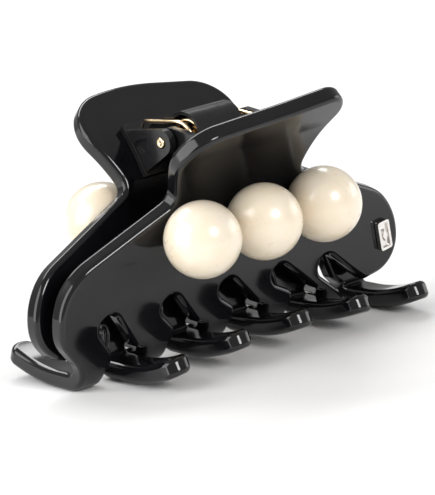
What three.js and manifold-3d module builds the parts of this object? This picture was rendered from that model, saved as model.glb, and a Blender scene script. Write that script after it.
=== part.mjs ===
// Claw clip: two bent acetate jaws on a sprung hinge, with a row of pearls on each jaw and a small metal plate.
// Millimetres, +Z up, +X along the clip, the front jaw towards -Y. The origin is on the ground, under the middle.
// Both jaws are bent alike, and the rear one is turned half round the Z axis. Their slots and handles differ a little.

import * as THREE from 'three';
import { mergeVertices } from 'three/addons/utils/BufferGeometryUtils.js';
import Module from 'manifold-3d';

const wasm = await Module();
wasm.setup();

// ---- Jaw sheet -------------------------------------------------------------------------------------------------
// The flat blank is drawn in x (along the clip) and v (up the sheet, from the line where the fingers bend).
const SHEET = 3.4;
const INNER_GAP = 0.6; // from the middle plane to the inner face at the finger bend
const BEND_LEAN = 3; // degrees that the sheet leans outwards at the finger bend
const BODY = [[11.6, 0], [6.1, 13], [7, 0], [14, 30], [9.6, 0]]; // [length, turn outwards in degrees], going up
const BEND_RADIUS = 2.9; // at the middle of the sheet
const BEND_TURN = 90 - BEND_LEAN;
const BEND_LENGTH = BEND_RADIUS * THREE.MathUtils.degToRad(BEND_TURN);
const FINGER_FLAT = 3; // level stretch under the bend, which the clip stands on
const FINGER_CURVE = [14.8, 24]; // then the finger curls up to its tip
const FINGER = [[BEND_LENGTH, BEND_TURN], [FINGER_FLAT, 0], FINGER_CURVE]; // going down and across
const BEND_Z = SHEET / 2 + BEND_RADIUS * (1 - Math.sin(THREE.MathUtils.degToRad(BEND_LEAN)));

// The middle fingers bend higher up than the end ones, and the sheet above them makes up the difference.
const ARCH_RISE = 1.8;
const ARCH_HALF = 29.5;
const ARCH_FADE = 20;

// ---- Outline of the blank ----------------------------------------------------------------------------------------
const FINGERS = 5;
const PITCH = 14.75;
const FIRST_FINGER_X = -33.8;
const FINGER_HALF = 2.8;
const TIP_ROUND = 2.6;
const PETAL = [5.1, 0.9]; // the rounded corner on a finger's right: how far out from its centre line, and v
const ROOT = [4.8, 0.8]; // the corner on a finger's left
const SLOT_HALF = 2.35;
const SLOT_ROUND = 2.05;
const SLOT_TOP_V = 8.1;
const SLOT_TOP_STEP = 0.55; // each slot is this much lower than the one before
const WAIST_HALF = 14.9;
const WAIST_V = 27.3;
const FLANK = 40.7;
// Corners of the handle, [x, v, radius]: right, crown and left. The front one climbs to its right, the rear one is domed.
const FRONT_HANDLE = [[20.4, 47.9, 5], [4, 45.4, 50], [-19.9, 42.9, 7.5]];
const REAR_HANDLE = [[21, 45.6, 8], [4, 47.6, 45], [-18.6, 43.2, 8]];

// Sideways, from a slot's top to its mouth. The two jaws' slots lean apart, so that they don't line up.
const frontLean = (i) => 4.1 + 0.42 * i * i;
const rearLean = (i) => -2.8 + 1.8 * i;

// ---- Hinge, pearls and plate -------------------------------------------------------------------------------------
const HINGE_Z = 40;
const PIN_RADIUS = 1;
const PIN_HALF = 11.1;
const RUNNING = 0.08; // radial clearance of the pin in the knuckles
const SEAT_GAP = 0.15; // between pieces that rest on each other
const LEAF_THICK = 1.3;
const LEAF_HALF = 11.2;
const LEAF_V = [28.4, 37.8];
const CHEEK_THICK = 1.4;
const OUTER_CHEEK_X = 9.3;
const INNER_CHEEK_X = 7.4;
const KNUCKLE_RADIUS = 2.4;
const COVER_RADIUS = 4.7;
const COVER_BORE = 4;
const COVER_X = [-5.2, 5.4];
const COVER_V = [31.4, 37]; // where the cover's web meets the base plate
const COIL_RADIUS = 2.9;
const WIRE = 0.8;
const COIL_TURNS = 6;
const COIL_HALF = 6.3;
const LEG_V = 37.2; // how far up the sheet the spring's legs reach

const PEARL_RADIUS = 7;
const PEARL_SPACING = 14.7;
const PEARL_V = 23.2;
const PEG_RADIUS = 0.7;
const PEG_IN_SHEET = 2;
const PEG_IN_PEARL = 4;

const PLATE = { x: 37.3, v: 8.4, width: 2.9, height: 5.7, thick: 0.5, rim: 0.5, proud: 0.4, tilt: 9 };
const POST_RADIUS = 0.45;
const POST_LENGTH = 1.4;
const POST_SPACING = 3;

const FRONT = 0;
const REAR = Math.PI;

// ---- Facets ------------------------------------------------------------------------------------------------------
const ARC_STEP = 22.5; // degrees for one side of a rounded corner
const BODY_STEP = 8; // degrees of bend between two cuts across the body
const FINGER_STEP = 15;
const ARCH_CUTS = 3; // cuts along the sheet, on each side of the middle
const SNAP = 1e-3; // corners nearer than this are one corner

// ---- Solids ------------------------------------------------------------------------------------------------------
const rad = THREE.MathUtils.degToRad;

// A geometry as a manifold solid, with its shared vertices merged.
function solid(geometry) {
  const bare = geometry.clone();
  bare.deleteAttribute('normal');
  bare.deleteAttribute('uv');
  const merged = mergeVertices(bare, 1e-5);
  const mesh = new wasm.Mesh({
    numProp: 3,
    vertProperties: Float32Array.from(merged.attributes.position.array),
    triVerts: Uint32Array.from(merged.index.array),
  });
  return new wasm.Manifold(mesh);
}

// A manifold solid as a flat-shaded geometry.
function geometryOf(shape) {
  const mesh = shape.getMesh();
  const geometry = new THREE.BufferGeometry();
  geometry.setAttribute('position', new THREE.BufferAttribute(Float32Array.from(mesh.vertProperties), 3));
  geometry.setIndex(new THREE.BufferAttribute(Uint32Array.from(mesh.triVerts), 1));
  const flat = geometry.toNonIndexed();
  flat.computeVertexNormals();
  return flat;
}

// An outline with straight sides and a rounded corner at each [x, y, radius].
function roundedShape(corners, arcStep = ARC_STEP) {
  const points = [];
  corners.forEach(([x, y, radius], i) => {
    const before = corners[(i + corners.length - 1) % corners.length];
    const after = corners[(i + 1) % corners.length];
    const back = new THREE.Vector2(before[0] - x, before[1] - y).normalize();
    const ahead = new THREE.Vector2(after[0] - x, after[1] - y).normalize();
    const half = Math.acos(back.dot(ahead)) / 2;
    const middle = back.clone().add(ahead).normalize();
    const centre = new THREE.Vector2(x, y).addScaledVector(middle, radius / Math.sin(half));
    const turn = (Math.PI - 2 * half) * Math.sign(back.cross(ahead));
    const steps = Math.max(1, Math.ceil(Math.abs(turn) / rad(arcStep)));
    const start = new THREE.Vector2(x, y).addScaledVector(back, radius / Math.tan(half));
    for (let k = 0; k <= steps; k++) points.push(start.clone().rotateAround(centre, (-turn * k) / steps));
  });
  return new THREE.Shape(points);
}

// ---- The bend ----------------------------------------------------------------------------------------------------

// Follows [length, turn] stretches for a distance. heading is in degrees from straight up, positive outwards.
function follow(stretches, start, distance) {
  let { out, z, heading } = start;
  let left = distance;
  for (const [length, turn] of stretches) {
    const step = Math.min(left, length);
    const turned = (turn * step) / length;
    const middle = rad(heading + turned / 2);
    const chord = turn === 0 ? step : (2 * length * Math.sin(rad(turned) / 2)) / rad(turn);
    out += chord * Math.sin(middle);
    z += chord * Math.cos(middle);
    heading += turned;
    left -= step;
    if (left <= 0) break;
  }
  return { out, z, heading };
}

function archAt(x) {
  return Math.abs(x) < ARCH_HALF ? ARCH_RISE * (1 - (x / ARCH_HALF) ** 2) : 0;
}

// Where a point of the flat sheet ends up. t is its height over the middle of the sheet, positive outwards.
function bent(x, v, t) {
  const foot = { out: INNER_GAP + SHEET / 2, z: BEND_Z, heading: BEND_LEAN };
  const lift = archAt(x);
  if (v >= 0) {
    const up = v < ARCH_FADE ? v + lift * (1 - v / ARCH_FADE) : v;
    const body = follow(BODY, foot, up);
    const turn = rad(body.heading);
    return new THREE.Vector3(x, -(body.out + t * Math.cos(turn)), body.z - t * Math.sin(turn));
  }
  const root = follow(BODY, foot, lift);
  const finger = follow(FINGER, { ...root, heading: root.heading + 180 }, -v);
  const turn = rad(finger.heading);
  return new THREE.Vector3(x, -(finger.out - t * Math.cos(turn)), finger.z + t * Math.sin(turn));
}

// The v values where the bent sheet changes direction, spaced finely in the arcs.
function bendStations() {
  const stations = [];
  const walk = (stretches, sign) => {
    let at = 0;
    for (const [length, turn] of stretches) {
      const parts = Math.max(1, Math.ceil(turn / (sign > 0 ? BODY_STEP : FINGER_STEP)));
      for (let i = 0; i < parts; i++) stations.push(sign * (at + (length * i) / parts));
      at += length;
    }
  };
  walk(BODY, 1);
  walk(FINGER, -1);
  return stations;
}

// The part of a flat solid inside one cell, as [x, v, t] triangles, without the walls that the cell cut.
function cellTriangles(flat, [x0, x1], [v0, v1]) {
  const box = new THREE.BoxGeometry(x1 - x0, v1 - v0, 4 * SHEET);
  box.translate((x0 + x1) / 2, (v0 + v1) / 2, 0);
  const mesh = flat.intersect(solid(box)).getMesh();
  const corner = (i) => Array.from(mesh.vertProperties.slice(3 * i, 3 * i + 3));
  const triangles = [];
  for (let i = 0; i < mesh.triVerts.length; i += 3) {
    const triangle = [0, 1, 2].map((k) => corner(mesh.triVerts[i + k]));
    const onWall = (axis, value) => triangle.every((point) => Math.abs(point[axis] - value) < SNAP);
    const onCut = onWall(0, x0) || onWall(0, x1) || onWall(1, v0) || onWall(1, v1);
    if (!onCut) triangles.push(triangle);
  }
  return triangles;
}

// Splits a triangle wherever a neighbouring cell has a corner on one of its sides.
function splitAtCorners(triangle, corners) {
  const apart = (p, q) => Math.hypot(p[0] - q[0], p[1] - q[1], p[2] - q[2]);
  for (let k = 0; k < 3; k++) {
    const [a, b, c] = [0, 1, 2].map((j) => triangle[(k + j) % 3]);
    const length = apart(a, b);
    const between = corners.find((p) => p !== a && p !== b && apart(a, p) + apart(p, b) - length < SNAP ** 2);
    if (between) {
      return [[a, between, c], [between, b, c]].flatMap((part) => splitAtCorners(part, corners));
    }
  }
  return [triangle];
}

// Bends a flat solid, cell by cell, so that it has an edge wherever the bend changes.
function bendSheet(flat, columns) {
  const rows = [-100, ...bendStations().sort((a, b) => a - b), 100];
  const seen = [];
  const shared = (point) => {
    const known = seen.find((other) => other.every((value, k) => Math.abs(value - point[k]) < SNAP));
    if (!known) seen.push(point);
    return known ?? point;
  };
  const triangles = [];
  for (let i = 1; i < columns.length; i++) {
    for (let j = 1; j < rows.length; j++) {
      const cell = cellTriangles(flat, [columns[i - 1], columns[i]], [rows[j - 1], rows[j]]);
      triangles.push(...cell.map((triangle) => triangle.map(shared)));
    }
  }
  const mended = triangles.flatMap((triangle) => splitAtCorners(triangle, seen));
  const points = mended.flat().map(([x, v, t]) => bent(x, v, t));
  return solid(new THREE.BufferGeometry().setFromPoints(points));
}

// ---- Jaws --------------------------------------------------------------------------------------------------------

function fingerX(i) {
  return FIRST_FINGER_X + PITCH * i;
}

// Corners of one finger, from its left root down round the tip and up to its rounded right corner.
function fingerCorners(i) {
  const x = fingerX(i);
  const tip = -FINGER.reduce((sum, [length]) => sum + length, 0);
  const left = [[x - ROOT[0], ROOT[1], 1.3], [x - FINGER_HALF, 0.1, 0.8]];
  const right = [[x + FINGER_HALF, -1.4, 1.2], [x + PETAL[0], PETAL[1], 1.9]];
  return [
    ...(i === 0 ? [[x - FINGER_HALF, 0.2, 4]] : left),
    [x - FINGER_HALF, tip, TIP_ROUND],
    [x + FINGER_HALF, tip, TIP_ROUND],
    ...(i === FINGERS - 1 ? [[x + FINGER_HALF, -1.6, 1.6]] : right),
  ];
}

// Corners of the top of the slot on a finger's right.
function slotCorners(i, lean) {
  const mouth = new THREE.Vector2(fingerX(i) + PITCH / 2, 0);
  const top = mouth.clone().add(new THREE.Vector2(-lean, SLOT_TOP_V - SLOT_TOP_STEP * i));
  const across = top.clone().sub(mouth).normalize().rotateAround(new THREE.Vector2(), -Math.PI / 2);
  return [-SLOT_HALF, SLOT_HALF].map((side) => {
    const corner = top.clone().addScaledVector(across, side);
    return [corner.x, corner.y, SLOT_ROUND];
  });
}

function jawOutline(leanOf, handle) {
  const corners = [[-WAIST_HALF, WAIST_V, 2.4], [-FLANK + 0.3, 16.1, 12.5], [-FLANK, 5.6, 6]];
  for (let i = 0; i < FINGERS; i++) corners.push(...fingerCorners(i), ...slotCorners(i, leanOf(i)));
  corners.push([32.6, 0.4, 1.2], [FLANK + 1.2, 2, 6.9], [FLANK + 0.9, 15.4, 11.4]);
  corners.push([WAIST_HALF, WAIST_V, 2.4], ...handle);
  return roundedShape(corners);
}

function pearlPlace(i) {
  const x = (i - 1) * PEARL_SPACING;
  const seat = bent(x, PEARL_V, SHEET / 2);
  const outward = bent(x, PEARL_V, SHEET / 2 + 1).sub(seat);
  return { seat, outward };
}

// A rod along a direction, from a point, as a geometry in place.
function rod(start, direction, radius, length, sides = 12) {
  const geometry = new THREE.CylinderGeometry(radius, radius, length, sides);
  geometry.translate(0, length / 2, 0);
  geometry.applyQuaternion(new THREE.Quaternion().setFromUnitVectors(new THREE.Vector3(0, 1, 0), direction));
  geometry.translate(start.x, start.y, start.z);
  return geometry;
}

function pegRod(i, slack) {
  const { seat, outward } = pearlPlace(i);
  const start = seat.clone().addScaledVector(outward, -PEG_IN_SHEET - slack);
  return rod(start, outward, PEG_RADIUS + slack, PEG_IN_SHEET + PEG_IN_PEARL + 2 * slack);
}

// The plate's own frame: x across, y up the sheet, z out of the jaw's face.
function plateMatrix() {
  const origin = bent(PLATE.x, PLATE.v, SHEET / 2 + SEAT_GAP);
  const out = bent(PLATE.x, PLATE.v, SHEET / 2 + SEAT_GAP + 1).sub(origin);
  const up = new THREE.Vector3(0, 0, 1).projectOnPlane(out).normalize();
  const across = up.clone().cross(out);
  const frame = new THREE.Matrix4().makeBasis(across, up, out).setPosition(origin);
  return frame.multiply(new THREE.Matrix4().makeRotationZ(rad(PLATE.tilt)));
}

function postRod(side, slack) {
  const start = new THREE.Vector3(0, (side * POST_SPACING) / 2, -POST_LENGTH - slack);
  const length = POST_LENGTH + slack + PLATE.thick / 2;
  return rod(start, new THREE.Vector3(0, 0, 1), POST_RADIUS + slack, length).applyMatrix4(plateMatrix());
}

function jaw(leanOf, handle, drillings) {
  const outline = jawOutline(leanOf, handle);
  const flat = new THREE.ExtrudeGeometry(outline, { depth: SHEET, bevelEnabled: false });
  flat.translate(0, 0, -SHEET / 2);
  const columns = [-100];
  for (let k = -ARCH_CUTS; k <= ARCH_CUTS; k++) columns.push((ARCH_HALF * k) / ARCH_CUTS);
  let body = bendSheet(solid(flat), [...columns, 100]);
  for (const drilling of drillings) body = body.subtract(solid(drilling));
  return geometryOf(body);
}

// ---- Pearls, pegs and plate --------------------------------------------------------------------------------------

function pearl(i) {
  const { seat, outward } = pearlPlace(i);
  const geometry = new THREE.SphereGeometry(PEARL_RADIUS, 18, 12);
  const centre = seat.clone().addScaledVector(outward, PEARL_RADIUS + SEAT_GAP);
  geometry.translate(centre.x, centre.y, centre.z);
  return geometryOf(solid(geometry).subtract(solid(pegRod(i, 0.1))));
}

// One casting: a plate with a raised rim, a raised lozenge and two posts that sit in the jaw.
function plate() {
  const { width, height, thick, rim, proud } = PLATE;
  const corners = (inset) => {
    const [x, y] = [width / 2 - inset, height / 2 - inset];
    const round = Math.max(0.5 - inset, 0.1);
    return [[-x, -y, round], [x, -y, round], [x, y, round], [-x, y, round]];
  };
  const raised = (shape, depth) => {
    const options = { depth, bevelEnabled: false, curveSegments: 4 };
    return solid(new THREE.ExtrudeGeometry(shape, options).applyMatrix4(plateMatrix()));
  };
  const frame = roundedShape(corners(0));
  frame.holes.push(roundedShape(corners(rim)));
  const lozenge = roundedShape([[0, -1.4, 0.1], [0.62, 0, 0.1], [0, 1.4, 0.1], [-0.62, 0, 0.1]]);
  let body = raised(roundedShape(corners(0)), thick);
  body = body.add(raised(frame, thick + proud)).add(raised(lozenge, thick + proud));
  for (const side of [-1, 1]) body = body.add(solid(postRod(side, 0)));
  return geometryOf(body);
}

// ---- Hinge -------------------------------------------------------------------------------------------------------

// An extrusion along X of a shape drawn in (out, z) about the hinge axis, on the front side.
function acrossX(shape, x0, x1, curveSegments = 8) {
  const geometry = new THREE.ExtrudeGeometry(shape, { depth: x1 - x0, bevelEnabled: false, curveSegments });
  const toWorld = new THREE.Matrix4().makeBasis(
    new THREE.Vector3(0, -1, 0),
    new THREE.Vector3(0, 0, 1),
    new THREE.Vector3(-1, 0, 0),
  );
  return geometry.applyMatrix4(toWorld).translate(x1, 0, HINGE_Z);
}

// A point of the leaf's base plate, as (out, z) about the hinge axis.
function leafPoint(v) {
  const point = bent(0, v, -(SHEET / 2 + SEAT_GAP + LEAF_THICK / 2));
  return new THREE.Vector2(-point.y, point.z - HINGE_Z);
}

// A web that runs from the base plate, between two heights on it, round the hinge axis.
function webShape(low, high, radius) {
  const shape = new THREE.Shape();
  const vs = [0, 1, 2, 3].map((k) => low + ((high - low) * k) / 3);
  const base = vs.map(leafPoint);
  const tangent = (point, side) => {
    const aim = Math.atan2(point.y, point.x);
    return aim + side * Math.acos(radius / point.length());
  };
  shape.moveTo(base[0].x, base[0].y);
  base.slice(1).forEach((point) => shape.lineTo(point.x, point.y));
  shape.absarc(0, 0, radius, tangent(base[3], 1), tangent(base[0], -1) + 2 * Math.PI, false);
  return shape;
}

// A cheek with a sunk panel in its outer face.
function cheek(x0, x1, panelSide) {
  const inset = 1.1;
  const depth = 0.45;
  const plain = solid(acrossX(webShape(LEAF_V[0] + 0.6, LEAF_V[1] - 0.6, KNUCKLE_RADIUS), x0, x1));
  const base = [LEAF_V[0] + 3, LEAF_V[1] - 1.8].map(leafPoint);
  const inner = roundedShape([
    [base[0].x - inset, base[0].y + inset, 0.4],
    [base[1].x - inset, base[1].y - inset, 0.5],
    [KNUCKLE_RADIUS + inset, 0.6, 0.4],
  ]);
  const [from, to] = panelSide > 0 ? [x1 - depth, x1 + 1] : [x0 - 1, x0 + depth];
  return plain.subtract(solid(acrossX(inner, from, to)));
}

function axisRod(radius, halfLength, sides = 20) {
  return rod(new THREE.Vector3(-halfLength, 0, HINGE_Z), new THREE.Vector3(1, 0, 0), radius, 2 * halfLength, sides);
}

// One leaf on the front side: base plate, an outer cheek on the right and an inner cheek on the left.
function leafSolid() {
  const [low, high] = LEAF_V;
  const slab = new THREE.BoxGeometry(2 * LEAF_HALF, high - low, LEAF_THICK);
  slab.translate(0, (low + high) / 2, -(SHEET / 2 + SEAT_GAP + LEAF_THICK / 2));
  return bendSheet(solid(slab), [-100, 100])
    .add(cheek(OUTER_CHEEK_X, OUTER_CHEEK_X + CHEEK_THICK, 1))
    .add(cheek(-INNER_CHEEK_X - CHEEK_THICK, -INNER_CHEEK_X, -1));
}

function frontLeaf() {
  return geometryOf(leafSolid().subtract(solid(axisRod(PIN_RADIUS + RUNNING, 20))));
}

// The rear leaf also carries the cover round the spring, open below and at both ends.
function rearLeaf() {
  const mouth = new THREE.BoxGeometry(40, 12, 9);
  mouth.translate(0, 4, HINGE_Z - 4.9);
  const cover = solid(acrossX(webShape(COVER_V[0], COVER_V[1], COVER_RADIUS), -COVER_X[1], -COVER_X[0]))
    .subtract(solid(axisRod(COVER_BORE, 20, 24)))
    .subtract(solid(mouth));
  return geometryOf(leafSolid().add(cover).subtract(solid(axisRod(PIN_RADIUS + RUNNING, 20))));
}

function pin() {
  const chamfer = 0.25;
  const profile = [
    [0, -PIN_HALF],
    [PIN_RADIUS - chamfer, -PIN_HALF],
    [PIN_RADIUS, -PIN_HALF + chamfer],
    [PIN_RADIUS, PIN_HALF - chamfer],
    [PIN_RADIUS - chamfer, PIN_HALF],
    [0, PIN_HALF],
  ].map(([x, y]) => new THREE.Vector2(x, y));
  return new THREE.LatheGeometry(profile, 20).rotateZ(-Math.PI / 2).translate(0, 0, HINGE_Z);
}

// The coil runs round the pin; a leg leaves each end as a tangent and lies against a leaf.
function spring() {
  const rest = bent(0, LEG_V, -(SHEET / 2 + SEAT_GAP + LEAF_THICK + WIRE / 2 + 0.25));
  const end = new THREE.Vector2(-rest.y, rest.z - HINGE_Z); // (out, z) of both leg ends
  const leave = Math.atan2(end.y, end.x) + Math.acos(COIL_RADIUS / end.length());
  const sweep = 2 * Math.PI * COIL_TURNS + Math.PI - 2 * leave;
  const steps = COIL_TURNS * 10;
  const points = [new THREE.Vector3(-COIL_HALF, end.x, end.y)];
  for (let i = 0; i <= steps; i++) {
    const angle = leave + (sweep * i) / steps;
    const x = -COIL_HALF + (2 * COIL_HALF * i) / steps;
    points.push(new THREE.Vector3(x, COIL_RADIUS * Math.cos(angle), COIL_RADIUS * Math.sin(angle)));
  }
  points.push(new THREE.Vector3(COIL_HALF, -end.x, end.y));
  const path = new THREE.CatmullRomCurve3(points, false, 'centripetal');
  const section = new THREE.Shape().absarc(0, 0, WIRE / 2, 0, 2 * Math.PI, false);
  const options = { steps, extrudePath: path, curveSegments: 3, bevelEnabled: false };
  return new THREE.ExtrudeGeometry(section, options).translate(0, 0, HINGE_Z);
}

// ---- Assembly ----------------------------------------------------------------------------------------------------

const acetate = { color: 0x08080a, roughness: 0.06, metalness: 0 };
const hingePlastic = { color: 0x1b1c1f, roughness: 0.35, metalness: 0 };
const gold = { color: 0xe6c58e, roughness: 0.22, metalness: 1 };
const ivory = { color: 0xefe4d2, roughness: 0.15, metalness: 0 };
const steel = { color: 0xb9bbbf, roughness: 0.3, metalness: 1 };
const silver = { color: 0xe9e2dd, roughness: 0.2, metalness: 1 };

const group = new THREE.Group();
group.name = 'claw_clip';

function addPiece(name, geometry, look, turn = FRONT) {
  const mesh = new THREE.Mesh(geometry, new THREE.MeshStandardMaterial(look));
  mesh.name = name;
  mesh.rotation.z = turn;
  group.add(mesh);
}

const pegHoles = [0, 1, 2].map((i) => pegRod(i, 0.1));
const postHoles = [-1, 1].map((side) => postRod(side, 0.1));

addPiece('front_jaw', jaw(frontLean, FRONT_HANDLE, [...pegHoles, ...postHoles]), acetate);
addPiece('rear_jaw', jaw(rearLean, REAR_HANDLE, pegHoles), acetate, REAR);
addPiece('hinge_leaf_front', frontLeaf(), hingePlastic);
addPiece('hinge_leaf_rear', rearLeaf(), hingePlastic, REAR);
addPiece('hinge_pin', pin(), gold);
addPiece('torsion_spring', spring(), gold);
for (const [side, turn] of [['front', FRONT], ['rear', REAR]]) {
  for (let i = 0; i < 3; i++) {
    addPiece(`pearl_${side}_${i + 1}`, pearl(i), ivory, turn);
    addPiece(`pearl_peg_${side}_${i + 1}`, pegRod(i, 0), steel, turn);
  }
}
addPiece('badge_plate', plate(), silver);

export default group;
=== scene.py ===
"""Looks of the claw clip: polished bent acetate jaws, pearls, sprung hinge and metal plate, in a pale studio.

The jaws are cut as a flat blank in x (along the clip) and v (up the sheet, from the line where the
fingers bend), given polished round edges, and bent. The rear jaw is bent like the front one and turned
half round the Z axis. Their slots and handles differ a little.
Dimensions are in millimetres up to the point where a mesh is made, and metres after it.
"""

import math

import bpy
from mathutils import Matrix, Quaternion, Vector, geometry


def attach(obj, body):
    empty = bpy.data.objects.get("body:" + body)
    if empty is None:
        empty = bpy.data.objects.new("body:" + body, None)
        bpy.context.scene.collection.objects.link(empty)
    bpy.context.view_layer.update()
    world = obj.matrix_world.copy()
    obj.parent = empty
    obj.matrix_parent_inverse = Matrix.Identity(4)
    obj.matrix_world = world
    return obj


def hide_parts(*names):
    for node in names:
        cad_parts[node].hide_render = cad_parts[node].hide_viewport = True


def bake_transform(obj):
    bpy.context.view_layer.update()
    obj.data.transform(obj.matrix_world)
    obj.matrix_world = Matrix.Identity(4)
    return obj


MM = 0.001

# ---- Jaw sheet -------------------------------------------------------------------------------------------
SHEET = 3.4
INNER_GAP = 0.6  # from the middle plane to the inner face at the finger bend
BEND_LEAN = 3  # degrees that the sheet leans outwards at the finger bend
BODY = [(11.6, 0), (6.1, 13), (7, 0), (14, 30), (9.6, 0)]  # (length, turn outwards in degrees), going up
BEND_RADIUS = 2.9
BEND_TURN = 90 - BEND_LEAN
BEND_LENGTH = BEND_RADIUS * math.radians(BEND_TURN)
FINGER_FLAT = 3
FINGER_CURVE = (14.8, 24)
FINGER = [(BEND_LENGTH, BEND_TURN), (FINGER_FLAT, 0), FINGER_CURVE]  # going down and across
BEND_Z = SHEET / 2 + BEND_RADIUS * (1 - math.sin(math.radians(BEND_LEAN)))
ARCH_RISE = 1.8  # the middle fingers bend this much higher than the end ones
ARCH_HALF = 29.5
ARCH_FADE = 20
EDGE_ROUND = 1.0  # radius of the polished edges
EDGE_STEPS = 7

# ---- Outline of the blank --------------------------------------------------------------------------------
FINGERS = 5
PITCH = 14.75
FIRST_FINGER_X = -33.8
FINGER_HALF = 2.8
TIP_ROUND = 2.6
PETAL = (5.1, 0.9)  # the rounded corner on a finger's right: how far out from its centre line, and v
ROOT = (4.8, 0.8)  # the corner on a finger's left
SLOT_HALF = 2.35
SLOT_ROUND = 2.05
SLOT_TOP_V = 8.1
SLOT_TOP_STEP = 0.55
WAIST_HALF = 14.9
WAIST_V = 27.3
FLANK = 40.7
FRONT_HANDLE = [(20.4, 47.9, 5), (4, 45.4, 50), (-19.9, 42.9, 7.5)]  # its right corner, crown and left corner
REAR_HANDLE = [(21, 45.6, 8), (4, 47.6, 45), (-18.6, 43.2, 8)]
ARC_STEP = 5  # degrees for one side of a rounded corner
OUTLINE_STEP = 0.6  # longest side of the outline
FACE_STEP = 1.2  # spacing of the points across the faces
RIM_CLEAR = 0.45  # of OUTLINE_STEP: no point across a face is nearer to its rim
BLANK_MARGIN = 2  # the points across the faces start this far outside the flanks
BEND_STEP = 4  # degrees of bend between two rows of points

# ---- Hinge and pearls ------------------------------------------------------------------------------------
HINGE_Z = 40
PIN_RADIUS = 1
PIN_HALF = 11.1
SEAT_GAP = 0.15  # between pieces that rest on each other
LEAF_THICK = 1.3
COIL_RADIUS = 2.9
WIRE = 0.8
COIL_TURNS = 6
COIL_HALF = 6.3
LEG_V = 37.2  # height on the sheet of the spring's leg ends
LEG_CLEAR = 0.25
LEG_PARTS = 6
COIL_PARTS = 32  # stretches in one turn of the coil
WIRE_CAP = [(0.97, 0.25), (0.7, 0.71), (0.3, 0.95)]  # (distance past the end, size), in wire radii
PEARLS = 3  # on each jaw
PEARL_RADIUS = 7
PEARL_SPACING = 14.7
PEARL_V = 23.2
DRILL_RADIUS = 0.8
DRILL_LIP = 0.35  # round-over at the mouth of a pearl's drilling
DRILL_DEPTH = 1.6
PEARL_ROWS = 64
PEARL_SIDES = 96

# ---- Photograph's viewpoint ------------------------------------------------------------------------------
VIEW_BEARING = 40.3  # degrees from straight in front, towards -X
VIEW_ELEVATION = 14.2
VIEW_ROLL = 4.9
VIEW_DISTANCE = 632.5
VIEW_LENS = 252.7
AIM_HEIGHT = 25.7
AIM_RIGHT = 0.9
AIM_UP = -7.3

FRONT = 0
REAR = math.pi

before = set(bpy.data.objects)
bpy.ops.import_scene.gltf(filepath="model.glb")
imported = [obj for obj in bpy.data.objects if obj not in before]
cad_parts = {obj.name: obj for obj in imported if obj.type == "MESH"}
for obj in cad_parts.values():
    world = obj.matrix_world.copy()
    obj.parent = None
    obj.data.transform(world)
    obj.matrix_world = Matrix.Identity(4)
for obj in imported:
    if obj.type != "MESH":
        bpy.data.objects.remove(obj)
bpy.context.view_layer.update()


# ---- The bend --------------------------------------------------------------------------------------------
def follow(stretches, start, distance):
    """Follows (length, turn) stretches from start = (out, z, heading) for a distance."""
    out, z, heading = start
    left = distance
    for length, turn in stretches:
        step = min(left, length)
        turned = turn * step / length
        middle = math.radians(heading + turned / 2)
        chord = step if turn == 0 else 2 * length * math.sin(math.radians(turned) / 2) / math.radians(turn)
        out += chord * math.sin(middle)
        z += chord * math.cos(middle)
        heading += turned
        left -= step
        if left <= 0:
            break
    return out, z, heading


def arch_at(x):
    return ARCH_RISE * (1 - (x / ARCH_HALF) ** 2) if abs(x) < ARCH_HALF else 0


def bent(x, v, t):
    """Where a point of the flat sheet ends up. t is its height over the sheet's middle, positive outwards."""
    foot = (INNER_GAP + SHEET / 2, BEND_Z, BEND_LEAN)
    lift = arch_at(x)
    if v >= 0:
        up = v + lift * (1 - v / ARCH_FADE) if v < ARCH_FADE else v
        out, z, heading = follow(BODY, foot, up)
        turn = math.radians(heading)
        return Vector((x, -(out + t * math.cos(turn)), z - t * math.sin(turn)))
    root_out, root_z, root_heading = follow(BODY, foot, lift)
    out, z, heading = follow(FINGER, (root_out, root_z, root_heading + 180), -v)
    turn = math.radians(heading)
    return Vector((x, -(out - t * math.cos(turn)), z + t * math.sin(turn)))


def bent_normal(x, v, t, flat_normal):
    """The bent sheet's normal, from the flat one, by how the bend stretches the three directions."""
    h = 0.01
    along_x = bent(x + h, v, t) - bent(x - h, v, t)
    along_v = bent(x, v + h, t) - bent(x, v - h, t)
    along_t = bent(x, v, t + h) - bent(x, v, t - h)
    nx, nv, nt = flat_normal
    normal = nx * along_v.cross(along_t) + nv * along_t.cross(along_x) + nt * along_x.cross(along_v)
    return normal.normalized()


def bend_rows():
    """The v values of the rows of points across a face, close together where the sheet bends."""
    rows = []
    for stretches, sign in ((BODY, 1), (FINGER, -1)):
        at = 0
        for length, turn in stretches:
            parts = max(math.ceil(length / FACE_STEP), math.ceil(turn / BEND_STEP))
            rows += [sign * (at + length * i / parts) for i in range(parts)]
            at += length
    return rows


# ---- Outline of the blank --------------------------------------------------------------------------------
def turned(vector, angle):
    return Vector((
        vector.x * math.cos(angle) - vector.y * math.sin(angle),
        vector.x * math.sin(angle) + vector.y * math.cos(angle),
    ))


def rounded_outline(corners):
    """Points round an outline with straight sides and a rounded corner at each (x, y, radius)."""
    points = []
    for i, (x, y, radius) in enumerate(corners):
        corner = Vector((x, y))
        back = (Vector(corners[i - 1][:2]) - corner).normalized()
        ahead = (Vector(corners[(i + 1) % len(corners)][:2]) - corner).normalized()
        half = math.acos(max(-1, min(1, back.dot(ahead)))) / 2
        centre = corner + (back + ahead).normalized() * radius / math.sin(half)
        side = 1 if back.x * ahead.y - back.y * ahead.x > 0 else -1
        turn = (math.pi - 2 * half) * side
        by_angle = math.ceil(abs(turn) / math.radians(ARC_STEP))
        by_length = math.ceil(abs(turn) * radius / OUTLINE_STEP)
        steps = max(1, by_angle, by_length)
        start = corner + back * radius / math.tan(half)
        points += [centre + turned(start - centre, -turn * k / steps) for k in range(steps + 1)]
    return points


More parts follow.
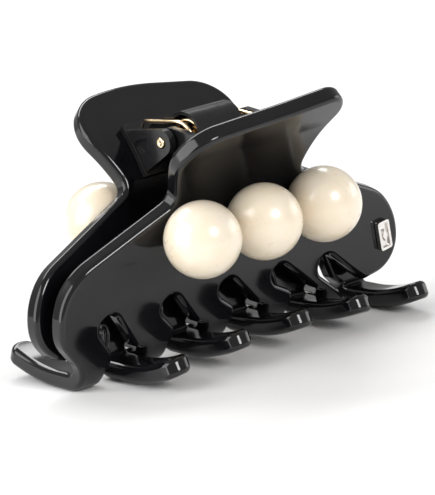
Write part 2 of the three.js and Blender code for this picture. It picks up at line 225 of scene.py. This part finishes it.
def closer_points(points, longest):
    """The same outline, with points added on its straight sides."""
    close = []
    for i, point in enumerate(points):
        after = points[(i + 1) % len(points)]
        parts = max(1, math.ceil((after - point).length / longest))
        close += [point.lerp(after, k / parts) for k in range(parts)]
    return close


def front_lean(i):
    """Sideways, from a slot's top to its mouth. The two jaws' slots lean apart, so they don't line up."""
    return 4.1 + 0.42 * i * i


def rear_lean(i):
    """The same for the rear jaw."""
    return -2.8 + 1.8 * i


def finger_corners(i):
    """One finger, from its left root down round the tip and up to its rounded right corner."""
    x = FIRST_FINGER_X + PITCH * i
    tip = -sum(length for length, _ in FINGER)
    left = [(x - ROOT[0], ROOT[1], 1.3), (x - FINGER_HALF, 0.1, 0.8)]
    right = [(x + FINGER_HALF, -1.4, 1.2), (x + PETAL[0], PETAL[1], 1.9)]
    if i == 0:
        left = [(x - FINGER_HALF, 0.2, 4)]
    if i == FINGERS - 1:
        right = [(x + FINGER_HALF, -1.6, 1.6)]
    return left + [(x - FINGER_HALF, tip, TIP_ROUND), (x + FINGER_HALF, tip, TIP_ROUND)] + right


def slot_corners(i, lean):
    """The top of the slot on a finger's right."""
    mouth = Vector((FIRST_FINGER_X + PITCH * (i + 0.5), 0))
    top = mouth + Vector((-lean, SLOT_TOP_V - SLOT_TOP_STEP * i))
    across = turned((top - mouth).normalized(), -math.pi / 2)
    return [(*(top + across * side), SLOT_ROUND) for side in (-SLOT_HALF, SLOT_HALF)]


def jaw_corners(lean_of, handle):
    corners = [(-WAIST_HALF, WAIST_V, 2.4), (-FLANK + 0.3, 16.1, 12.5), (-FLANK, 5.6, 6)]
    for i in range(FINGERS):
        corners += finger_corners(i) + slot_corners(i, lean_of(i))
    corners += [(32.6, 0.4, 1.2), (FLANK + 1.2, 2, 6.9), (FLANK + 0.9, 15.4, 11.4)]
    return corners + [(WAIST_HALF, WAIST_V, 2.4), *handle]


# ---- Jaw mesh --------------------------------------------------------------------------------------------
def outward_directions(points):
    """At each outline point, the direction out of the material. The outline is anticlockwise in (x, v)."""
    directions = []
    for i, point in enumerate(points):
        before = (point - points[i - 1]).normalized()
        after = (points[(i + 1) % len(points)] - point).normalized()
        along = (before + after).normalized()
        directions.append(Vector((along.y, -along.x)))
    return directions


def edge_profile():
    """(inset, t, outward share, t share) of each ring round the edge, from the outer face inwards."""
    rings = []
    for side in (1, -1):
        steps = range(EDGE_STEPS, -1, -1) if side > 0 else range(EDGE_STEPS + 1)
        for k in steps:
            angle = math.pi / 2 * k / EDGE_STEPS
            inset = EDGE_ROUND * (1 - math.cos(angle))
            t = side * (SHEET / 2 - EDGE_ROUND + EDGE_ROUND * math.sin(angle))
            rings.append((inset, t, math.cos(angle), side * math.sin(angle)))
    return rings


def face_filling(rim):
    """Points and triangles that fill the rim of a face, the rim's own points first."""
    columns = math.ceil(2 * (FLANK + BLANK_MARGIN) / FACE_STEP)
    inner = []
    for v in bend_rows():
        for k in range(columns + 1):
            point = Vector((-FLANK - BLANK_MARGIN + FACE_STEP * k, v))
            if min((point - other).length_squared for other in rim) > (RIM_CLEAR * OUTLINE_STEP) ** 2:
                inner.append(point)
    edges = [(i, (i + 1) % len(rim)) for i in range(len(rim))]
    found = geometry.delaunay_2d_cdt(rim + inner, edges, [], 1, 1e-5)
    points, triangles = found[0], found[2]
    used = sorted(set(range(len(rim))).union(*triangles))
    number = {old: new for new, old in enumerate(used)}
    return [points[old] for old in used], [[number[old] for old in triangle] for triangle in triangles]


def jaw_mesh(name, turn, lean_of, handle):
    outline = closer_points(rounded_outline(jaw_corners(lean_of, handle)), OUTLINE_STEP)
    directions = outward_directions(outline)
    flat = []
    normals = []
    faces = []
    count = len(outline)
    rings = edge_profile()
    for inset, t, out_share, t_share in rings:
        for point, direction in zip(outline, directions):
            place = point - direction * inset
            flat.append((place.x, place.y, t))
            normals.append((direction.x * out_share, direction.y * out_share, t_share))
    for ring in range(len(rings) - 1):
        for i in range(count):
            j = (i + 1) % count
            low, high = ring * count, (ring + 1) * count
            faces.append((low + j, low + i, high + i, high + j))
    rim = [Vector(flat[i][:2]) for i in range(count)]
    points, triangles = face_filling(rim)
    last_ring = (len(rings) - 1) * count
    for side, ring_start in ((1, 0), (-1, last_ring)):
        first_new = len(flat)
        flat += [(p.x, p.y, side * SHEET / 2) for p in points[count:]]
        normals += [(0, 0, side)] * (len(points) - count)
        number = [ring_start + i if i < count else first_new + i - count for i in range(len(points))]
        for triangle in triangles:
            order = triangle if side > 0 else triangle[::-1]
            faces.append(tuple(number[i] for i in order))
    spin = Matrix.Rotation(turn, 3, "Z")
    mesh = bpy.data.meshes.new(name)
    mesh.from_pydata([spin @ bent(*point) * MM for point in flat], [], faces)
    mesh.polygons.foreach_set("use_smooth", [True] * len(mesh.polygons))
    mesh.normals_split_custom_set_from_vertices([spin @ bent_normal(*p, n) for p, n in zip(flat, normals)])
    return mesh


# ---- Pieces ----------------------------------------------------------------------------------------------
def add_piece(name, mesh, body, replaced, material):
    piece = bpy.data.objects.new(name, mesh)
    bpy.context.scene.collection.objects.link(piece)
    mesh.materials.clear()
    mesh.materials.append(material)
    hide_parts(replaced)
    if body:
        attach(piece, body)
    return piece


def swept_mesh(name, rings):
    """A closed skin over rings of equal count, each a list of points in millimetres."""
    sides = len(rings[0])
    points = [point * MM for ring in rings for point in ring]
    faces = []
    for r in range(len(rings) - 1):
        for i in range(sides):
            j = (i + 1) % sides
            faces.append((r * sides + i, r * sides + j, (r + 1) * sides + j, (r + 1) * sides + i))
    faces.append(tuple(range(sides))[::-1])
    faces.append(tuple((len(rings) - 1) * sides + i for i in range(sides)))
    mesh = bpy.data.meshes.new(name)
    mesh.from_pydata(points, [], faces)
    mesh.polygons.foreach_set("use_smooth", [True] * len(mesh.polygons))
    return mesh


def lathed_mesh(name, profile, axis_start, axis, sides):
    """A turned solid: profile is (distance along the axis, radius)."""
    to_axis = Vector((0, 0, 1)).rotation_difference(axis)
    rings = []
    for along, radius in profile:
        ring = []
        for i in range(sides):
            angle = 2 * math.pi * i / sides
            local = Vector((radius * math.cos(angle), radius * math.sin(angle), along))
            ring.append(axis_start + to_axis @ local)
        rings.append(ring)
    return swept_mesh(name, rings)


def pearl_mesh(name, i, turn):
    """A drilled pearl: a ball with a rounded mouth where its peg goes in."""
    x = (i - 1) * PEARL_SPACING
    seat = bent(x, PEARL_V, SHEET / 2)
    outward = bent(x, PEARL_V, SHEET / 2 + 1) - seat
    spin = Matrix.Rotation(turn, 3, "Z")
    mouth = math.asin((DRILL_RADIUS + DRILL_LIP) / PEARL_RADIUS)
    profile = [(PEARL_RADIUS * (1 - math.cos(0.3 * mouth)) + DRILL_DEPTH, DRILL_RADIUS)]
    for k in range(4):
        angle = math.pi / 2 * k / 3
        along = PEARL_RADIUS * (1 - math.cos(mouth)) + DRILL_LIP * (1 - math.sin(angle))
        profile.append((along, DRILL_RADIUS + DRILL_LIP * (1 - math.cos(angle))))
    for k in range(1, PEARL_ROWS):
        angle = mouth + (math.pi - mouth) * k / PEARL_ROWS
        profile.append((PEARL_RADIUS * (1 - math.cos(angle)), PEARL_RADIUS * math.sin(angle)))
    profile.append((2 * PEARL_RADIUS, 0.01))
    start = seat + outward * SEAT_GAP
    return lathed_mesh(name, profile, spin @ start, spin @ outward, PEARL_SIDES)


def pin_mesh(name):
    """The pin, with a slightly domed head at each end and a turning mark in its middle."""
    dome = 0.3
    head = []
    for k in range(6):
        angle = math.pi / 2 * k / 5
        head.append((PIN_HALF - dome + dome * math.cos(angle), PIN_RADIUS - dome + dome * math.sin(angle)))
    dimple = [(PIN_HALF - 0.22, 0.02), (PIN_HALF - 0.12, 0.18), (PIN_HALF, 0.32)]
    right = [(along, radius) for along, radius in dimple + head]
    profile = [(-along, radius) for along, radius in right] + right[::-1]
    axis_start = Vector((0, 0, HINGE_Z))
    return lathed_mesh(name, profile, axis_start, Vector((1, 0, 0)), 48)


def spring_line():
    """The spring's centre line: a leg on the rear leaf, the coil round the pin, a leg on the front leaf."""
    rest = bent(0, LEG_V, -(SHEET / 2 + SEAT_GAP + LEAF_THICK + WIRE / 2 + LEG_CLEAR))
    end = Vector((-rest.y, rest.z - HINGE_Z))
    leave = math.atan2(end.y, end.x) + math.acos(COIL_RADIUS / end.length)
    sweep = 2 * math.pi * COIL_TURNS + math.pi - 2 * leave
    steps = COIL_TURNS * COIL_PARTS
    coil = []
    for i in range(steps + 1):
        angle = leave + sweep * i / steps
        x = COIL_HALF * (2 * i / steps - 1)
        coil.append(Vector((x, COIL_RADIUS * math.cos(angle), HINGE_Z + COIL_RADIUS * math.sin(angle))))
    rear_end = Vector((-COIL_HALF, end.x, HINGE_Z + end.y))
    front_end = Vector((COIL_HALF, -end.x, HINGE_Z + end.y))
    rear_leg = [rear_end.lerp(coil[0], k / LEG_PARTS) for k in range(LEG_PARTS)]
    front_leg = [coil[-1].lerp(front_end, k / LEG_PARTS) for k in range(1, LEG_PARTS + 1)]
    return rear_leg + coil + front_leg


def wire_mesh(name, line, radius, sides=14):
    """A round wire along a line, with rounded ends."""
    tangents = []
    for i in range(len(line)):
        before, after = line[max(i - 1, 0)], line[min(i + 1, len(line) - 1)]
        tangents.append((after - before).normalized())
    across = tangents[0].orthogonal().normalized()
    rings = []

    def ring_at(centre, tangent, size):
        side = tangent.cross(across)
        ring = []
        for i in range(sides):
            angle = 2 * math.pi * i / sides
            ring.append(centre + (across * math.cos(angle) + side * math.sin(angle)) * size)
        return ring

    for along, size in WIRE_CAP:
        rings.append(ring_at(line[0] - tangents[0] * radius * along, tangents[0], radius * size))
    for i, centre in enumerate(line):
        if i:
            bend = tangents[i - 1].rotation_difference(tangents[i])
            across = (bend @ across).normalized()
        rings.append(ring_at(centre, tangents[i], radius))
    for along, size in WIRE_CAP[::-1]:
        rings.append(ring_at(line[-1] + tangents[-1] * radius * along, tangents[-1], radius * size))
    return swept_mesh(name, rings)


def softened(name, node, width, segments, body, material):
    """A moulded or cast copy of a CAD node, with rounded edges."""
    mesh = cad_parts[node].data.copy()
    mesh.name = name
    piece = add_piece(name, mesh, body, node, material)
    weld = piece.modifiers.new("weld", "WELD")
    weld.merge_threshold = 1e-6
    merge = piece.modifiers.new("merge_flats", "DECIMATE")
    merge.decimate_type = "DISSOLVE"
    merge.angle_limit = math.radians(2)
    bevel = piece.modifiers.new("rounded_edges", "BEVEL")
    bevel.width = width * MM
    bevel.segments = segments
    bevel.limit_method = "ANGLE"
    bevel.angle_limit = math.radians(32)
    bevel.miter_outer = "MITER_ARC"
    bevel.use_clamp_overlap = True
    mesh.polygons.foreach_set("use_smooth", [True] * len(mesh.polygons))
    even = piece.modifiers.new("even_normals", "WEIGHTED_NORMAL")
    even.keep_sharp = False
    even.weight = 80
    return piece


# ---- Materials -------------------------------------------------------------------------------------------
class Look:
    """A principled material and the few nodes that vary it over the surface."""

    def __init__(self, name, colour, metallic=0.0, roughness=0.3, ior=1.5):
        self.material = bpy.data.materials.new(name)
        self.material.use_nodes = True
        self.nodes = self.material.node_tree.nodes
        self.link = self.material.node_tree.links.new
        self.shader = self.nodes["Principled BSDF"]
        self.set("Base Color", (*colour, 1))
        self.set("Metallic", metallic)
        self.set("Roughness", roughness)
        self.set("IOR", ior)
        self.place = self.nodes.new("ShaderNodeTexCoord").outputs["Object"]
        self.normal = None

    def set(self, socket, value):
        self.shader.inputs[socket].default_value = value

    def noise(self, size, detail=3, stretch=(1, 1, 1)):
        """Noise whose features are size millimetres across, stretched along the axes."""
        mapping = self.nodes.new("ShaderNodeMapping")
        mapping.inputs["Scale"].default_value = [1 / (size * MM * s) for s in stretch]
        self.link(self.place, mapping.inputs["Vector"])
        noise = self.nodes.new("ShaderNodeTexNoise")
        noise.inputs["Scale"].default_value = 1
        noise.inputs["Detail"].default_value = detail
        self.link(mapping.outputs["Vector"], noise.inputs["Vector"])
        return noise.outputs["Fac"]

    def spread(self, value, low, high, cut=(0.3, 0.7)):
        """Maps a noise value onto a range."""
        span = self.nodes.new("ShaderNodeMapRange")
        span.inputs["From Min"].default_value = cut[0]
        span.inputs["From Max"].default_value = cut[1]
        span.inputs["To Min"].default_value = low
        span.inputs["To Max"].default_value = high
        self.link(value, span.inputs["Value"])
        return span.outputs["Result"]

    def rough(self, value, low, high):
        self.link(self.spread(value, low, high), self.shader.inputs["Roughness"])

    def tint(self, value, dark, light):
        """Colours the surface between two colours by a noise value."""
        ramp = self.nodes.new("ShaderNodeValToRGB")
        ramp.color_ramp.elements[0].position = 0.3
        ramp.color_ramp.elements[0].color = (*dark, 1)
        ramp.color_ramp.elements[1].position = 0.7
        ramp.color_ramp.elements[1].color = (*light, 1)
        self.link(value, ramp.inputs["Fac"])
        self.link(ramp.outputs["Color"], self.shader.inputs["Base Color"])

    def bump(self, value, depth):
        """Raises the surface by a noise value, depth millimetres at most."""
        bump = self.nodes.new("ShaderNodeBump")
        bump.inputs["Distance"].default_value = depth * MM
        bump.inputs["Strength"].default_value = 1
        self.link(value, bump.inputs["Height"])
        if self.normal:
            self.link(self.normal, bump.inputs["Normal"])
        self.normal = bump.outputs["Normal"]
        self.link(self.normal, self.shader.inputs["Normal"])


def acetate_look():
    """Black cellulose acetate, hand polished: a soft shine, with faint waves and rubbed patches."""
    look = Look("acetate_black", (0.004, 0.004, 0.005), roughness=0.1, ior=1.5)
    look.tint(look.noise(9), (0.003, 0.003, 0.004), (0.006, 0.006, 0.007))
    look.rough(look.noise(5, detail=6), 0.07, 0.14)
    look.bump(look.noise(14, detail=1), 0.02)
    return look.material


def plastic_look():
    """Moulded black hinge plastic, satin with a fine grain."""
    look = Look("hinge_plastic_satin", (0.012, 0.012, 0.013), ior=1.48)
    look.tint(look.noise(3), (0.008, 0.008, 0.009), (0.013, 0.013, 0.014))
    look.rough(look.noise(1.2, detail=5), 0.16, 0.26)
    look.bump(look.noise(0.35, detail=4), 0.004)
    return look.material


def gold_look():
    """Pale gold plating on drawn wire, with faint drawing lines."""
    look = Look("gold_plate_pale", (0.93, 0.72, 0.44), metallic=1.0)
    look.tint(look.noise(1.5), (0.88, 0.66, 0.38), (0.97, 0.78, 0.52))
    look.rough(look.noise(0.5, detail=4, stretch=(1, 6, 6)), 0.12, 0.3)
    look.bump(look.noise(0.3, detail=2, stretch=(1, 8, 8)), 0.003)
    return look.material


def pearl_look():
    """Cream imitation pearl: a lustrous body under a clear lacquer, with a faint mottling."""
    look = Look("pearl_cream", (0.88, 0.77, 0.60), roughness=0.28, ior=1.6)
    look.tint(look.noise(6, detail=2), (0.86, 0.74, 0.56), (0.90, 0.80, 0.65))
    look.rough(look.noise(2, detail=5), 0.26, 0.34)
    look.bump(look.noise(0.8, detail=3), 0.002)
    look.set("Subsurface Weight", 0.12)
    look.set("Subsurface Radius", (0.0035, 0.0024, 0.0015))
    look.set("Subsurface Scale", 1.0)
    look.set("Coat Weight", 0.9)
    look.set("Coat Roughness", 0.2)
    look.set("Coat IOR", 1.5)
    return look.material


def silver_look():
    """Polished silver-coloured casting, with fine brushing."""
    look = Look("silver_cast", (0.88, 0.85, 0.82), metallic=1.0)
    look.tint(look.noise(0.9), (0.80, 0.77, 0.74), (0.93, 0.90, 0.87))
    look.rough(look.noise(0.3, detail=4, stretch=(8, 8, 1)), 0.1, 0.28)
    look.bump(look.noise(0.25, detail=2, stretch=(8, 8, 1)), 0.003)
    return look.material


def steel_look():
    """Bright steel pegs, turned."""
    look = Look("peg_steel", (0.6, 0.6, 0.62), metallic=1.0)
    look.tint(look.noise(0.8), (0.52, 0.52, 0.54), (0.66, 0.66, 0.68))
    look.rough(look.noise(0.2, detail=3), 0.2, 0.4)
    return look.material


def floor_look():
    look = Look("studio_floor", (0.92, 0.92, 0.92), roughness=0.55)
    look.tint(look.noise(400), (0.915, 0.915, 0.915), (0.925, 0.925, 0.925))
    return look.material


acetate = acetate_look()
plastic = plastic_look()
gold = gold_look()
pearl = pearl_look()
silver = silver_look()
steel = steel_look()

# ---- Assembly --------------------------------------------------------------------------------------------
halves = (("front", FRONT, front_lean, FRONT_HANDLE), ("rear", REAR, rear_lean, REAR_HANDLE))
for side, turn, lean_of, handle in halves:
    body = side + "_half"
    jaw = side + "_jaw"
    polished = jaw_mesh(jaw + "_polished", turn, lean_of, handle)
    add_piece(jaw + "_polished", polished, body, jaw, acetate)
    leaf = "hinge_leaf_" + side
    softened(leaf + "_moulded", leaf, 0.22, 3, body, plastic)
    for i in range(PEARLS):
        ball = f"pearl_{side}_{i + 1}"
        add_piece(ball + "_drilled", pearl_mesh(ball + "_drilled", i, turn), body, ball, pearl)
        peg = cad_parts[f"pearl_peg_{side}_{i + 1}"]
        peg.data.materials.clear()
        peg.data.materials.append(steel)

softened("badge_plate_cast", "badge_plate", 0.12, 3, "front_half", silver)
add_piece("hinge_pin_domed", pin_mesh("hinge_pin_domed"), "rear_half", "hinge_pin", gold)

spring = add_piece("torsion_spring_wound", wire_mesh("torsion_spring_wound", spring_line(), WIRE / 2),
                   None, "torsion_spring", gold)
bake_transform(spring)


# ---- Studio ----------------------------------------------------------------------------------------------
def direction(bearing, elevation):
    """Towards a bearing in degrees from straight in front (-Y), positive towards +X, and an elevation."""
    b, e = math.radians(bearing), math.radians(elevation)
    return Vector((math.sin(b) * math.cos(e), -math.cos(b) * math.cos(e), math.sin(e)))


def add_floor():
    half = 3.0
    corners = [(-half, -half, 0), (half, -half, 0), (half, half, 0), (-half, half, 0)]
    mesh = bpy.data.meshes.new("studio_floor")
    mesh.from_pydata(corners, [], [(0, 1, 2, 3)])
    mesh.materials.append(floor_look())
    floor = bpy.data.objects.new("studio_floor", mesh)
    bpy.context.scene.collection.objects.link(floor)


def add_softbox(name, bearing, elevation, distance, width, height, brightness, shape="RECTANGLE"):
    """An area light that faces the clip. brightness is how bright its face is, against 1 for white."""
    light = bpy.data.lights.new(name, "AREA")
    light.shape = shape
    light.size = width
    light.size_y = height
    area = width * height * (math.pi / 4 if shape == "ELLIPSE" else 1)
    light.energy = brightness * math.pi * area
    lamp = bpy.data.objects.new(name, light)
    bpy.context.scene.collection.objects.link(lamp)
    towards = direction(bearing, elevation)
    lamp.location = towards * distance + Vector((0, 0, AIM_HEIGHT * MM))
    lamp.rotation_euler = towards.to_track_quat("Z", "Y").to_euler()


def add_world():
    """A dim even room behind the softboxes."""
    world = bpy.data.worlds.new("studio_room")
    world.use_nodes = True
    background = world.node_tree.nodes["Background"]
    background.inputs["Color"].default_value = (1, 0.99, 0.98, 1)
    background.inputs["Strength"].default_value = 0.4
    bpy.context.scene.world = world


def add_camera():
    camera = bpy.data.cameras.new("photo_view")
    camera.lens = VIEW_LENS
    camera.sensor_width = 36
    camera.clip_end = 20
    away = direction(-VIEW_BEARING, VIEW_ELEVATION)
    level = away.to_track_quat("Z", "Y")
    roll = Quaternion(away, -math.radians(VIEW_ROLL))
    turn = roll @ level
    right = turn @ Vector((1, 0, 0))
    up = turn @ Vector((0, 1, 0))
    aim = Vector((0, 0, AIM_HEIGHT)) + right * AIM_RIGHT + up * AIM_UP
    eye = bpy.data.objects.new("photo_view", camera)
    bpy.context.scene.collection.objects.link(eye)
    eye.location = (aim + away * VIEW_DISTANCE) * MM
    eye.rotation_euler = turn.to_euler()
    bpy.context.scene.camera = eye


add_floor()
add_softbox("round_key", 0, 30, 1.6, 0.55, 0.55, 14, "ELLIPSE")
add_softbox("left_wall", -105, 20, 1.3, 1.2, 1.5, 3.5)
add_softbox("right_wall", 75, 12, 1.6, 0.9, 0.6, 2)
add_softbox("back_strip", 165, 48, 1.6, 1.6, 0.45, 7)
add_world()
add_camera()
bpy.context.scene.view_settings.view_transform = "Standard"  # so that a white floor comes out white
